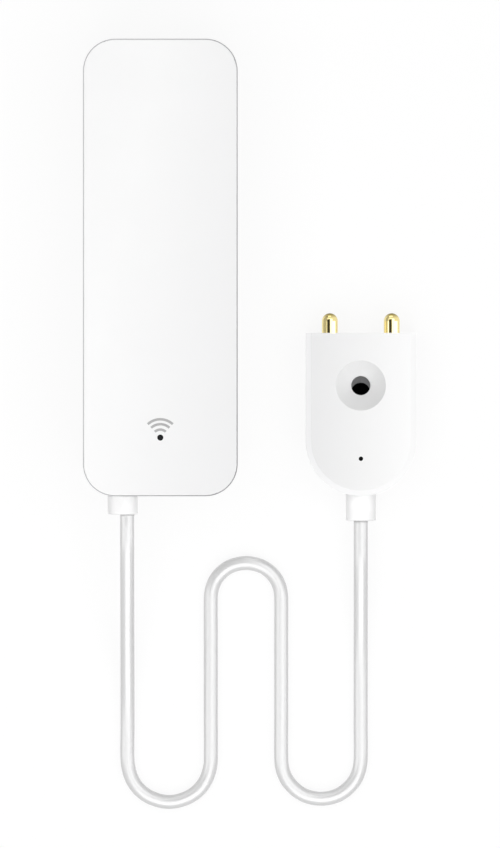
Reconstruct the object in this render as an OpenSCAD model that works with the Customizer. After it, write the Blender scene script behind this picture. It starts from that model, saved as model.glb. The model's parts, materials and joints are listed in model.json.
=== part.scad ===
// Battery-powered water leak sensor: a main unit, a cable and a two-pin probe.
// Millimetres. The object lies on its back: the origin is the middle of the main unit's back face,
// +Y points to the end away from the cable and +Z points out of the front.

/* [Cells] */
// Diameter of one AAA cell
cell_d = 10.2; // [9.6:0.1:10.5]
// Length of one cell with its nub
cell_l = 44.5; // [43:0.1:45]
// Diameter of the nub at the positive end
nub_d = 3.8; // [3.2:0.1:4.4]
// Height of the nub
nub_l = 0.9; // [0.6:0.1:1.4]
// Width of the rolled lip around the positive end
lip_rim = 0.9; // [0.6:0.1:1.2]
// Depth of the seal inside that lip
seal_depth = 0.35; // [0.2:0.05:0.6]
// Clearance around each cell
cell_gap = 0.3; // [0.2:0.05:0.5]

/* [Case] */
// Thickness of the side walls
wall = 1.35; // [1.25:0.05:1.8]
// Thickness of the front wall
front_t = 1.4; // [1:0.1:2.4]
// Radius of the four corners
corner_r = 5; // [3.5:0.5:5.5]
// Rounding of the front edge
front_round = 0.3; // [0.2:0.1:1]
// Rounding of the back edge
back_round = 0.5; // [0.2:0.1:0.6]
// Rounding of each half along the seam
seam_round = 0.2; // [0.1:0.05:0.3]
// Least thickness of the case at the corners of the bay
corner_wall = 0.7; // [0.6:0.05:0.8]
// Length of the service room below the cells
service_l = 17; // [16.5:0.5:24]
// Thickness of the wall between the cells and the service room
divider_t = 1.2; // [1:0.1:2]
// Thickness of the plate between the cells and the board
floor_t = 1.2; // [1.1:0.1:2]
// Height of the front cover's lip inside the seam
lip_h = 0.6; // [0.4:0.1:0.8]
// Thickness of that lip
lip_w = 0.6; // [0.5:0.05:0.7]
// Clearance between pieces that fit together
fit_clear = 0.1; // [0.05:0.05:0.15]

/* [Service room] */
// Height of the shelf's front face above the back
shelf_z = 6; // [5.5:0.1:7]
// Thickness of the shelf
shelf_t = 1; // [0.8:0.1:1.6]
// Length of the fixed strip of the back, below the door
strip_l = 7.8; // [7:0.1:9]
// Thickness of that strip
strip_t = 1.4; // [1:0.1:2]
// Thickness of the wall between the strip's room and the pocket under the shelf
step_t = 1; // [0.8:0.1:1.4]
// Diameter of a screw boss
boss_d = 4; // [3.6:0.1:4.6]
// Distance from the lower end to the bosses and the reset button
boss_up = 13.1; // [12.5:0.1:14]

/* [Battery door] */
// Thickness of the door
door_t = 1.4; // [1.3:0.1:2]
// Thickness of the rails that hold the door
rail_t = 0.7; // [0.6:0.05:0.8]
// Reach of a rail over the side of the bay
rail_reach = 0.45; // [0.3:0.05:0.8]
// Depth of the groove in the side wall
groove_depth = 0.6; // [0.4:0.05:0.7]
// Side and end clearance of the door
door_clear = 0.15; // [0.1:0.05:0.25]
// Clearance of the door between rail and case
door_play = 0.1; // [0.05:0.05:0.2]
// Number of grip grooves
grip_count = 5; // [3:1:7]
// Width of the grip grooves
grip_w = 11; // [8:0.5:14]
// Distance between grip grooves
grip_pitch = 1.6; // [1.4:0.1:2]
// Length of one grip groove along the door
grip_l = 0.8; // [0.6:0.1:1]
// Depth of the grip grooves and the arrow
grip_depth = 0.4; // [0.2:0.1:0.6]
// Width of the arrow
arrow_w = 5; // [4:0.5:7]
// Length of the arrow
arrow_l = 3.4; // [2.5:0.1:5]

/* [Contacts] */
// Thickness of the contact sheet
contact_t = 0.5; // [0.3:0.05:0.7]
// Diameter of a contact plate
contact_d = 8.8; // [8:0.1:9.2]
// Width of a solder tab
tab_w = 2.4; // [1.8:0.1:3.2]
// Length of a spring under load
spring_l = 4.5; // [4.3:0.1:6]
// Diameter of the spring wire
spring_wire = 0.6; // [0.4:0.05:0.65]
// Radius of the spring at the plate
spring_base_r = 3; // [2.6:0.1:3.1]
// Radius of the spring at the cell
spring_tip_r = 1.9; // [1.6:0.1:2.2]
// Number of turns of a spring
spring_turns = 3; // [2:1:3]
// Slack between a nub and its contact
cell_slack = 0.1; // [0.05:0.05:0.3]

/* [Board] */
// Thickness of the main board
board_t = 1; // [0.8:0.1:1.6]
// Room behind the board
board_gap = 1.2; // [1:0.1:2]
// Room for the parts in front of the board
part_room = 2; // [1.9:0.1:3]
// Clearance around the board
board_clear = 0.45; // [0.3:0.05:0.7]
// Diameter of the posts that carry the board
post_d = 2.4; // [2:0.1:3]
// Width of the radio module
module_w = 14; // [12:0.5:16]
// Length of the radio module
module_l = 18; // [16:0.5:22]
// Thickness of the radio module's board
module_t = 0.8; // [0.6:0.1:0.9]
// Width of the shield can
shield_w = 12; // [9:0.5:12]
// Length of the shield can
shield_l = 11; // [9:0.5:12]
// Height of the shield can
shield_t = 1; // [0.8:0.1:1]

/* [Lamp and button] */
// Diameter of the status lens on the front
lens_d = 0.85; // [0.6:0.05:1.5]
// Distance from the lower end to the status lens
lens_up = 9.1; // [8:0.1:10.5]
// Diameter of the lens flange
lens_flange_d = 2.4; // [2:0.1:3]
// Thickness of the lens flange
lens_flange_t = 0.7; // [0.5:0.1:0.9]
// Diameter of the reset button
button_d = 3; // [2.4:0.1:3.6]
// Diameter of the button's flange
button_flange_d = 4.6; // [4.4:0.1:5.4]
// Thickness of the button's flange
button_flange_t = 0.8; // [0.6:0.1:1.2]
// Length of the button that stands out behind the shelf
button_out = 1.1; // [0.8:0.1:1.6]
// Travel of the button
button_travel = 0.3; // [0.2:0.05:0.4]
// Width of the switch
switch_w = 4.5; // [4:0.1:5]
// Height of the switch body
switch_t = 1.5; // [1.2:0.1:2]
// Height of the switch plunger
plunger_t = 0.85; // [0.6:0.05:1]

/* [Screws] */
// Diameter of a case screw
screw_d = 1.9; // [1.7:0.1:2.2]
// Length of a case screw under its head
screw_l = 8; // [5:0.5:10]
// Diameter of the screw head
head_d = 3.6; // [3.2:0.1:4]
// Height of the screw head
head_t = 1.2; // [1:0.1:1.6]

/* [Cable] */
// Diameter of the cable
cable_d = 2.2; // [1.8:0.1:2.8]
// Diameter of both collars
collar_d = 4.7; // [4.2:0.1:5.2]
// Length of the main unit's collar
collar_l = 2.9; // [2:0.1:4]
// Length of the probe's collar
probe_collar_l = 3.9; // [3:0.1:5]
// Sideways place of the cable where it leaves the main unit
cable_x = -5.2; // [-5.6:0.1:-5]
// Distance that the main unit's collar is set outwards from its cable
collar_out = 0.7; // [0:0.1:0.8]
// Rounding of a collar's outer end
collar_round = 0.3; // [0.2:0.1:0.6]
// Diameter of the neck through each wall
neck_d = 3; // [2.8:0.1:3.4]
// Length of the probe's collar that is let into its wall
collar_sink = 0.5; // [0.4:0.1:0.8]
// Diameter of the flange inside each wall
flange_d = 5; // [4.6:0.1:5.2]
// Thickness of that flange
flange_t = 1; // [0.8:0.1:1.2]
// Diameter of one core
core_d = 0.9; // [0.7:0.05:1]
// Distance between the two cores
core_pitch = 1.3; // [1.2:0.05:1.4]
// Radius of a core's bend
core_bend_r = 1; // [0.8:0.1:1.2]

/* [Probe] */
// Width of the probe
probe_w = 17.2; // [16.5:0.1:20]
// Thickness of the probe
probe_t = 8; // [7.6:0.1:10]
// Length of the straight sides
probe_straight = 16.8; // [16:0.1:20]
// Sideways place of the probe's middle line
probe_x = 31.2; // [31:0.1:31.4]
// Thickness of the probe's walls
probe_wall = 1.2; // [1:0.05:1.4]
// Thickness of the probe's back
probe_back_t = 1.4; // [1.3:0.1:1.8]
// Width of the bevel along the probe's front edge
bevel_w = 0.9; // [0.4:0.1:1.1]
// Depth of that bevel
bevel_t = 0.25; // [0.15:0.05:0.6]
// Diameter of a pin
pin_d = 2.5; // [2:0.1:2.6]
// Length of a pin outside the probe
pin_out = 3.1; // [2.4:0.1:4]
// Length of a pin inside the wall
pin_in = 5; // [4:0.1:5]
// Distance from the middle of a pin to the side of the probe
pin_side = 3.775; // [3.5:0.025:4]
// Diameter of a pin's flange
pin_flange_d = 3.6; // [3.2:0.1:4]
// Thickness of a pin's flange
pin_flange_t = 0.8; // [0.6:0.1:1.2]
// Thickness of the probe's board
probe_board_t = 1; // [0.6:0.1:1]
// Diameter of the mounting screw's hole
hole_d = 3; // [2.6:0.1:3.6]
// Diameter of its countersink
sink_d = 7.8; // [6.6:0.1:8.2]
// Depth of its countersink
sink_depth = 2.4; // [1.8:0.1:3]
// Distance from the pins' end to the mounting hole
hole_down = 8.2; // [8:0.1:8.6]
// Wall of the mounting boss
hole_boss_wall = 2.2; // [2:0.1:2.3]
// Diameter of the pinhole
vent_d = 0.7; // [0.4:0.05:1]
// Distance from the round end to the pinhole
vent_up = 5.8; // [4.5:0.1:6.5]
// Thickness of the foam pad on the back
pad_t = 0.8; // [0.5:0.1:0.9]
// Distance from the foam pad to the probe's edge
pad_inset = 2; // [1.6:0.1:3]

/* [Hidden] */
$fn = 48;

// Overshoot of every cut past the face that it opens
cut = 1;
// Depth to which a boss or post is rooted in the wall that carries it
root = 0.3;

// Case: the width and the depth follow the cells, the length follows the bay and the service room
bay_w = 2 * cell_d + 3 * cell_gap;
bay_l = cell_l + cell_slack + spring_l + 2 * contact_t;
body_w = bay_w + 2 * wall;
body_l = 2 * wall + bay_l + divider_t + service_l;
inner_l = body_l - 2 * wall;
inner_r = corner_r - wall;
// Chamfer at the top corners of the bay that leaves the least thickness where the case itself is round,
// rounded up to the next step
chamfer_step = 0.05;
chamfer_least = sqrt(2) * (sqrt(2) * inner_r - corner_r + corner_wall);
bay_chamfer = chamfer_step * max(1, ceil(chamfer_least / chamfer_step));
top_y = body_l / 2;
bay_top = top_y - wall;
bay_bottom = bay_top - bay_l;
service_top = bay_bottom - divider_t;
strip_top = strip_l - top_y;

// Heights above the back face
cell_z = door_t + cell_gap + cell_d / 2;
bay_roof = door_t + 2 * cell_gap + cell_d;
parting_z = bay_roof + floor_t;
board_z = parting_z + board_gap;
part_z = board_z + board_t;
inner_front = part_z + part_room;
body_t = inner_front + front_t;
pocket_roof = shelf_z - shelf_t;

// Cells and contacts
cell_x = (cell_d + cell_gap) / 2;
cradle_r = cell_d / 2 + cell_gap;
left_nub_y = bay_bottom + contact_t + cell_slack;
right_nub_y = bay_top - contact_t - cell_slack;
tab_clear = 0.2;
bridge_h = 2 * spring_base_r + spring_wire + 0.2;
bridge_w = bay_w - 2 * bay_chamfer - 2 * fit_clear;
bridge_r = 1;
cell_edge = 0.5;
nub_edge = 0.3;

// Door
opening_w = bay_w - 2 * rail_reach;
groove_w = bay_w + 2 * groove_depth;
door_bottom = strip_top + door_clear;
grip_y = service_top;
arrow_y = grip_y + grip_count * grip_pitch;

// Bosses, button and lamp
boss_clear = 0.25;
boss_x = bay_w / 2 - boss_d / 2 - boss_clear;
boss_y = boss_up - top_y;
lens_y = lens_up - top_y;
button_gap = 0.05;
plunger_z = board_z - switch_t - plunger_t;
button_top = plunger_z - button_travel - button_gap;
button_stem_d = 2;
led_size = [1.6, 0.8, 0.6];

// Board
board_w = bay_w - 2 * board_clear;
board_l = inner_l - 2 * board_clear;
post_x = 7.4;
post_y = [bay_bottom + 3, bay_top - 2.6];
module_y = bay_top - 5 - module_l / 2;
shield_y = module_y - module_l / 2 + shield_l / 2 + 0.8;
header_size = [5, 4.2, 3.6];
header_y = 5.5 - top_y;
// Small parts on the front of the board: the middle of each, measured from the board's middle, and its size
regulator_at = [-5.5, -3.2];
regulator_size = [3, 1.7, 1.1];
capacitor_at = [-5.2, 2.4];
capacitor_size = [3.5, 2.8, 1.6];
crystal_at = [5.1, -2.8];
crystal_size = [3.2, 2.5, 0.8];
chip_row_at = [4.4, 2.8];
chip_size = [0.8, 1.6, 0.5];
resistor_row_at = [-2.2, -9.5];
resistor_size = [0.5, 1, 0.4];
row_count = 4;
row_pitch = 1.6;

// Cable: the collars sit at half the depth of the main unit and of the probe
collar_z = body_t / 2;
collar_end = -top_y - collar_l;
flange_over = max(0, abs(cable_x) + flange_d / 2 - bay_w / 2 + inner_r);
neck_l = wall + inner_r - sqrt(inner_r * inner_r - flange_over * flange_over) + fit_clear;
probe_z = probe_t / 2;
probe_y = probe_w / 2 - top_y;
probe_collar_end = -top_y - probe_collar_l;
cable_sides = 8;
cable_route = [
    [cable_x, collar_end, collar_z], [-5.2, -40.8, 9.5], [-5.2, -44, 9.3], [-5.2, -48, 8.4],
    [-5.2, -52, 7], [-5.2, -56, 5.4], [-5.2, -60, 3.8], [-5.2, -64, 2.4], [-5.2, -68, 1.5],
    [-5.2, -72, 1.15], [-5.2, -76.8, 1.1],
    [-4.3, -80.1, 1.1], [-2, -82.4, 1.1], [1.3, -83.3, 1.1], [4.6, -82.4, 1.1], [6.9, -80.1, 1.1],
    [7.8, -76.8, 1.1], [7.8, -70.5, 1.1], [7.8, -64, 1.1], [7.8, -57.5, 1.1], [7.8, -51.5, 1.1],
    [8.5, -48.7, 1.1], [10.5, -46.7, 1.1], [13.3, -46, 1.1], [16.1, -46.7, 1.1], [18.1, -48.7, 1.1],
    [18.8, -51.5, 1.1], [18.8, -57.5, 1.1], [18.8, -64, 1.1], [18.8, -70.5, 1.1], [18.8, -76.6, 1.1],
    [19.6, -79.7, 1.1], [21.9, -82, 1.1], [25, -82.8, 1.1], [28.1, -82, 1.1], [30.4, -79.7, 1.1],
    [31.2, -76.6, 1.1], [31.2, -71.5, 1.1], [31.2, -66, 1.1], [31.2, -61.5, 1.2], [31.2, -57.5, 1.6],
    [31.2, -53.5, 2.4], [31.2, -49.5, 3.3], [31.2, -46, 3.9], [31.2, -43, 4],
    [probe_x, probe_collar_end, probe_z]
];

// Probe, measured from the middle of its round end
probe_inner_r = probe_w / 2 - probe_wall;
pin_x = probe_w / 2 - pin_side;
pin_face = probe_straight - probe_wall;
hole_y = probe_straight - hole_down;
hole_boss_d = hole_d + 2 * hole_boss_wall;
vent_y = vent_up - probe_w / 2;
solder_gap = 0.05;
probe_board_z = probe_z - pin_d / 2 - solder_gap - probe_board_t;
probe_board_top = pin_face - pin_flange_t - 0.3;
probe_board_low = -1.6;
probe_board_w = 2 * (probe_inner_r - 0.3);
peg_d = 1.6;
peg_in = 1.3;
flange_face = 0.1 - sqrt(probe_inner_r * probe_inner_r - flange_d * flange_d / 4);
pot_z = probe_z + core_d / 2 + 0.25;

// Spring path: a stub out of the plate, then a cone of turns that ends at the cell
spring_steps = 8;
spring_sides = 6;
spring_start = 1.5 * spring_wire;
spring_rise = spring_l - spring_start - spring_wire / 2 - 0.05;
function spring_turn(turn) =
    let (radius = spring_base_r + (spring_tip_r - spring_base_r) * turn / spring_turns)
    [radius * cos(360 * turn), spring_start + spring_rise * turn / spring_turns, radius * sin(360 * turn)];
spring_path = concat(
    [[spring_base_r, 0, 0], [spring_base_r, spring_wire, 0]],
    [for (step = [1:spring_turns * spring_steps]) spring_turn(step / spring_steps)]
);
spring_out = [for (point = spring_path) [point[0], 0, point[2]]];

// Least clear distance of a wound wire to itself, between points at least skip steps apart
function least_gap(path, skip, width) = min([
    for (i = [0:len(path) - 1 - skip]) for (j = [i + skip:len(path) - 1]) norm(path[j] - path[i])
]) - width;
spring_gap = least_gap(spring_path, spring_steps - 2, spring_wire);
echo("least gap between the turns of a contact spring", spring_gap);

// Rings of a tube: each is square to the path and starts on the side that its outward vector points to
function unit(v) = v / norm(v);
function heading(path, i) = unit(path[min(i + 1, len(path) - 1)] - path[max(i - 1, 0)]);
function ring(centre, along, outward, radius, sides) =
    let (first = unit(outward - (outward * along) * along), second = cross(along, first))
    [
        for (k = [0:sides - 1]) let (turn = 360 * k / sides)
            centre + radius * (cos(turn) * first + sin(turn) * second)
    ];

// One unbroken tube of triangles along a path
module tube(path, outward, radius, sides) {
    rings = len(path);
    last = (rings - 1) * sides;
    points = [for (i = [0:rings - 1]) each ring(path[i], heading(path, i), outward[i], radius, sides)];
    walls = [
        for (i = [0:rings - 2]) for (k = [0:sides - 1])
            let (a = i * sides + k, b = i * sides + (k + 1) % sides)
            each [[a, a + sides, b], [b, a + sides, b + sides]]
    ];
    caps = [for (k = [1:sides - 2]) each [[0, k, k + 1], [last, last + k + 1, last + k]]];
    polyhedron(points = points, faces = concat(walls, caps));
}

// Quarter of a disc in the first quadrant
module quarter_disc(radius) {
    intersection() {
        circle(radius);
        square(radius);
    }
}

// Corner of a rectangle for each quarter turn
function corner_at(turn, x, y) = [turn == 0 || turn == 3 ? x : -x, turn < 2 ? y : -y];

// Rectangle with round corners
module rounded(width, length, radius) {
    core_x = width - 2 * radius;
    core_y = length - 2 * radius;
    square([core_x, length], center = true);
    for (side = [0, 1]) rotate(180 * side) translate([core_x / 2, -core_y / 2]) square([radius, core_y]);
    for (turn = [0:3])
        translate(corner_at(turn, core_x / 2, core_y / 2)) rotate(90 * turn) quarter_disc(radius);
}

// Section of a wall's edge zone, rounded at its top and at its low outer corner
module rim_profile(reach, height, top_round, low_round) {
    square([reach - low_round, low_round]);
    translate([reach - low_round, low_round]) mirror([0, 1]) quarter_disc(low_round);
    translate([0, low_round]) square([reach, height - low_round - top_round]);
    translate([0, height - top_round]) square([reach - top_round, top_round]);
    translate([reach - top_round, height - top_round]) quarter_disc(top_round);
}

// Section of a wall's edge zone with a shallow bevel at its top, rounded at its low outer corner
module bevel_profile(reach, height, low_round) {
    square([reach - low_round, low_round]);
    translate([reach - low_round, low_round]) mirror([0, 1]) quarter_disc(low_round);
    polygon([
        [0, low_round], [reach, low_round], [reach, height - bevel_t], [reach - bevel_w, height], [0, height]
    ]);
}

// Slab with round corners and rounded edges, standing on z = 0
module soft_slab(width, length, height, corner, top_round, low_round) {
    core_x = width - 2 * corner;
    core_y = length - 2 * corner;
    translate([-core_x / 2, -core_y / 2, 0]) cube([core_x, core_y, height]);
    for (side = [0, 1]) rotate(180 * side) {
        translate([core_x / 2, core_y / 2, 0]) rotate([90, 0, 0])
            linear_extrude(core_y) rim_profile(corner, height, top_round, low_round);
        translate([-core_x / 2, core_y / 2, 0]) rotate([90, 0, 90])
            linear_extrude(core_x) rim_profile(corner, height, top_round, low_round);
    }
    for (turn = [0:3])
        translate(corner_at(turn, core_x / 2, core_y / 2)) rotate(90 * turn)
            rotate_extrude(angle = 90) rim_profile(corner, height, top_round, low_round);
}

// Round piece along +Z from z = 0: each step has a diameter and the height at which it ends
module stepped(steps) {
    outline = [
        for (i = [0:len(steps) - 1]) let (r = steps[i][0] / 2, low = i == 0 ? 0 : steps[i - 1][1])
            each [[r, low], [r, steps[i][1]]]
    ];
    rotate_extrude() polygon(concat([[0, 0]], outline, [[0, steps[len(steps) - 1][1]]]));
}

// Cylinder along +Y that starts at y = 0
module rod(diameter, length) {
    rotate([-90, 0, 0]) cylinder(d = diameter, h = length);
}

// Upright slice of the case's inside, drawn at an inset from the outer face
module case_core(inset, height) {
    linear_extrude(height) rounded(body_w - 2 * inset, body_l - 2 * inset, corner_r - inset);
}

// Screw positions on both sides of the middle line
module at_bosses() {
    for (side = [-1, 1]) translate([side * boss_x, boss_y, 0]) children();
}

// Board supports
module at_posts() {
    for (side = [-1, 1], y = post_y) translate([side * post_x, y, 0]) children();
}

module front_cover() {
    color("white") difference() {
        union() {
            difference() {
                translate([0, 0, parting_z])
                    soft_slab(body_w, body_l, body_t - parting_z, corner_r, front_round, seam_round);
                translate([0, 0, parting_z - cut]) case_core(wall, inner_front - parting_z + cut);
            }
            difference() {
                translate([0, 0, parting_z - lip_h]) case_core(wall - lip_w, lip_h + seam_round);
                translate([0, 0, parting_z - lip_h - cut]) case_core(wall, lip_h + seam_round + 2 * cut);
            }
            at_bosses() translate([0, 0, shelf_z]) cylinder(d = boss_d, h = inner_front - shelf_z + root);
            at_posts() translate([0, 0, part_z]) cylinder(d = post_d, h = part_room + root);
        }
        at_bosses() translate([0, 0, shelf_z - cut])
            cylinder(d = screw_d + fit_clear, h = pocket_roof + screw_l + cut - shelf_z + cut);
        translate([0, lens_y, inner_front - cut]) cylinder(d = lens_d + fit_clear, h = front_t + 2 * cut);
    }
}

// Section of the battery bay: straight sides, then one round cradle for each cell
module bay_section() {
    translate([-bay_w / 2, door_t]) square([bay_w, cell_z - door_t]);
    for (side = [-1, 1]) translate([side * cell_x, cell_z]) intersection() {
        circle(cradle_r);
        translate([-cradle_r, 0]) square([2 * cradle_r, cradle_r]);
    }
}

// Battery bay with chamfered corners at its top end
module bay_space() {
    side_l = sqrt(2) * bay_chamfer;
    difference() {
        translate([0, bay_top, 0]) rotate([90, 0, 0]) linear_extrude(bay_l) bay_section();
        for (side = [-1, 1]) translate([side * bay_w / 2, bay_top, parting_z / 2]) rotate(45)
            cube([side_l, side_l, parting_z], center = true);
    }
}

// Inside of the case from the lower end up to y_end, from height z on
module lower_room(z, y_end) {
    intersection() {
        translate([0, 0, z]) case_core(wall, body_t);
        translate([-body_w / 2, -top_y, 0]) cube([body_w, y_end + top_y, body_t]);
    }
}

// Path of the battery door: the opening between the rails and the grooves behind them
module door_track() {
    translate([-opening_w / 2, strip_top, -cut]) cube([opening_w, body_l, cut + door_t + door_play]);
    translate([-groove_w / 2, strip_top, rail_t]) cube([groove_w, body_l, door_t + door_play - rail_t]);
}

module rear_housing() {
    color("whitesmoke") difference() {
        union() {
            difference() {
                soft_slab(body_w, body_l, parting_z, corner_r, seam_round, back_round);
                bay_space();
                translate([-bay_w / 2, strip_top, door_t])
                    cube([bay_w, service_top - strip_top, pocket_roof - door_t]);
                lower_room(shelf_z, service_top);
                lower_room(strip_t, strip_top - step_t);
                difference() {
                    translate([0, 0, parting_z - lip_h - fit_clear])
                        case_core(wall - lip_w - fit_clear, lip_h + fit_clear + cut);
                    translate([0, 0, parting_z - lip_h - cut]) case_core(wall + fit_clear, lip_h + 3 * cut);
                }
            }
            at_posts() translate([0, 0, parting_z - root]) cylinder(d = post_d, h = board_gap + root);
        }
        door_track();
        translate([cable_x, -top_y - cut, collar_z]) rod(neck_d + fit_clear, wall + 2 * cut);
        at_bosses() translate([0, 0, pocket_roof - cut])
            cylinder(d = screw_d + 4 * fit_clear, h = shelf_t + 2 * cut);
        translate([0, boss_y, pocket_roof - cut])
            cylinder(d = button_d + 2 * fit_clear, h = shelf_t + 2 * cut);
        for (side = [-1, 1]) translate([side * cell_x - tab_w / 2 - tab_clear, bay_bottom, bay_roof - cut])
            cube([tab_w + 2 * tab_clear, contact_t + tab_clear, floor_t + 2 * cut]);
        translate([0, bay_top - (contact_t + tab_clear) / 2, cell_z])
            cube([bridge_w + 2 * fit_clear, contact_t + tab_clear, bridge_h + 2 * fit_clear], center = true);
    }
}

module battery_door() {
    face_w = opening_w - 2 * door_clear;
    tongue_w = groove_w - 2 * door_clear;
    door_l = top_y - door_bottom;
    color("white") difference() {
        intersection() {
            union() {
                translate([-face_w / 2, door_bottom, -cut]) cube([face_w, door_l + cut, door_t + cut]);
                translate([-tongue_w / 2, door_bottom, rail_t + door_play])
                    cube([tongue_w, door_l + cut, door_t - rail_t - door_play]);
            }
            soft_slab(body_w, body_l, parting_z, corner_r, seam_round, back_round);
        }
        for (i = [0:grip_count - 1]) translate([-grip_w / 2, grip_y + i * grip_pitch, -cut])
            cube([grip_w, grip_l, cut + grip_depth]);
        translate([0, arrow_y, -cut]) linear_extrude(cut + grip_depth)
            polygon([[-arrow_w / 2, 0], [arrow_w / 2, 0], [0, arrow_l]]);
    }
}

// Cell along +Y with its nub's end at y = 0 and its flat end at y = cell_l
module cell() {
    r = cell_d / 2;
    color("dimgray") rotate([-90, 0, 0]) rotate_extrude() polygon([
        [0, 0], [nub_d / 2 - nub_edge, 0], [nub_d / 2, nub_edge], [nub_d / 2, nub_l + seal_depth],
        [r - lip_rim, nub_l + seal_depth], [r - lip_rim, nub_l], [r - cell_edge, nub_l],
        [r, nub_l + cell_edge], [r, cell_l - cell_edge], [r - cell_edge, cell_l], [0, cell_l]
    ]);
}

module battery_left() {
    translate([-cell_x, left_nub_y, cell_z]) cell();
}

module battery_right() {
    translate([cell_x, right_nub_y, cell_z]) rotate(180) cell();
}

// Contact plate at the lower end of the bay, with a tab that rises to the board
module tabbed_plate(side) {
    color("gainsboro") translate([side * cell_x, bay_bottom + contact_t, cell_z]) rotate([90, 0, 0])
        linear_extrude(contact_t) {
            circle(d = contact_d);
            translate([-tab_w / 2, 0]) square([tab_w, board_z - cell_z]);
        }
}

// Wound contact spring along +Y, standing on y = 0
module contact_spring() {
    color("silver") tube(spring_path, spring_out, spring_wire / 2, spring_sides);
}

module negative_plate() {
    tabbed_plate(1);
}

module negative_spring() {
    translate([cell_x, bay_bottom + contact_t, cell_z]) contact_spring();
}

module positive_contact() {
    tabbed_plate(-1);
}

module bridge_strip() {
    color("gainsboro") translate([0, bay_top, cell_z]) rotate([90, 0, 0])
        linear_extrude(contact_t) rounded(bridge_w, bridge_h, bridge_r);
}

module bridge_spring() {
    translate([-cell_x, bay_top - contact_t, cell_z]) rotate(180) contact_spring();
}

module main_board() {
    color("darkgreen") translate([0, 0, board_z]) linear_extrude(board_t) difference() {
        rounded(board_w, board_l, inner_r - board_clear);
        at_bosses() circle(d = boss_d + 2 * boss_clear);
    }
}

module radio_module() {
    color("midnightblue") translate([-module_w / 2, module_y - module_l / 2, part_z])
        cube([module_w, module_l, module_t]);
}

module radio_shield() {
    color("silver") translate([-shield_w / 2, shield_y - shield_l / 2, part_z + module_t])
        cube([shield_w, shield_l, shield_t]);
}

// Small part on the front of the board
module part_at(place, size) {
    translate([place[0] - size[0] / 2, place[1] - size[1] / 2, part_z]) cube(size);
}

module board_components() {
    color("darkslategray") {
        part_at(regulator_at, regulator_size);
        part_at(capacitor_at, capacitor_size);
        part_at(crystal_at, crystal_size);
        for (i = [0:row_count - 1]) {
            part_at(chip_row_at + [i * row_pitch, 0], chip_size);
            part_at(resistor_row_at + [i * row_pitch, 0], resistor_size);
        }
    }
}

module status_led() {
    color("lightyellow") translate([0, lens_y, part_z + led_size[2] / 2]) cube(led_size, center = true);
}

// Light guide: a thin stem through the front wall with a flange behind it
module status_lens() {
    led_room = led_size[2] + fit_clear;
    back = part_room - led_room;
    color("dimgray") translate([0, lens_y, part_z + led_room])
        stepped([[2 * lens_d, back - lens_flange_t], [lens_flange_d, back], [lens_d, back + front_t]]);
}

module tact_switch() {
    color("darkslategray") translate([0, boss_y, board_z - switch_t]) {
        translate([-switch_w / 2, -switch_w / 2, 0]) cube([switch_w, switch_w, switch_t]);
        translate([0, 0, -plunger_t]) cylinder(d = button_stem_d, h = plunger_t);
    }
}

module reset_button() {
    low = pocket_roof - button_out;
    flange = shelf_z - low;
    color("lightgray") translate([0, boss_y, low]) stepped([
        [button_d, flange], [button_flange_d, flange + button_flange_t], [button_stem_d, button_top - low]
    ]);
}

module probe_header() {
    color("ivory") translate([cable_x, header_y, board_z - header_size[2] / 2])
        cube(header_size, center = true);
}

// Cable collar along +Y: rounded outer end at y = 0, a neck in the wall and a flange behind it
module grommet(length, neck_length, out) {
    difference() {
        union() {
            translate([-out, 0, 0]) rotate([-90, 0, 0]) rotate_extrude()
                rim_profile(collar_d / 2, length, collar_round / 3, collar_round);
            translate([0, length - root, 0]) rod(neck_d, root + neck_length + flange_t);
            translate([0, length + neck_length, 0]) rod(flange_d, flange_t);
        }
        for (side = [-1, 1]) translate([side * core_pitch / 2, -cut, 0])
            rod(core_d + fit_clear, length + neck_length + flange_t + 2 * cut);
    }
}

module cable_grommet() {
    color("white") translate([cable_x, collar_end, collar_z]) grommet(collar_l, neck_l, collar_out);
}

// One core along +Y that turns up to +Z
module bent_core(run, rise) {
    rod(core_d, run);
    translate([0, run, core_bend_r]) rotate([0, 90, 0])
        rotate_extrude(angle = 90) translate([core_bend_r, 0]) circle(d = core_d);
    translate([0, run + core_bend_r, core_bend_r]) cylinder(d = core_d, h = rise);
}

module main_lead_wires() {
    run = header_y - core_bend_r - collar_end;
    rise = board_z - header_size[2] - collar_z - core_bend_r;
    color("crimson") for (side = [-1, 1]) translate([cable_x + side * core_pitch / 2, collar_end, collar_z])
        bent_core(run, rise);
}

module case_screws() {
    slot_w = head_t / 2;
    slot_l = head_d * 0.6;
    color("silver") at_bosses() difference() {
        translate([0, 0, pocket_roof - head_t]) stepped([[head_d, head_t], [screw_d, head_t + screw_l]]);
        for (turn = [0, 90]) translate([0, 0, pocket_roof - head_t]) rotate(turn)
            cube([slot_l, slot_w, head_t], center = true);
    }
}

module probe_cable() {
    color("white") tube(cable_route, [for (point = cable_route) [0, 0, 1]], cable_d / 2, cable_sides);
}

// Moves a piece from the middle of the probe's round end to its place
module at_probe() {
    translate([probe_x, probe_y, 0]) children();
}

// U-shaped outline of the probe at an inset from its edge
module probe_outline(inset) {
    half = probe_w / 2 - inset;
    translate([-half, 0]) square([2 * half, probe_straight - inset]);
    intersection() {
        circle(half);
        translate([-half, -half]) square([2 * half, half]);
    }
}

// Half of the probe's body: an edge section carried round the U, with a plain end at the pins
module probe_form() {
    translate([0, probe_straight, 0]) rotate([90, 0, 0]) linear_extrude(probe_straight) {
        children();
        mirror([1, 0]) children();
    }
    rotate_extrude(angle = 180, start = 180) children();
}

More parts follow.
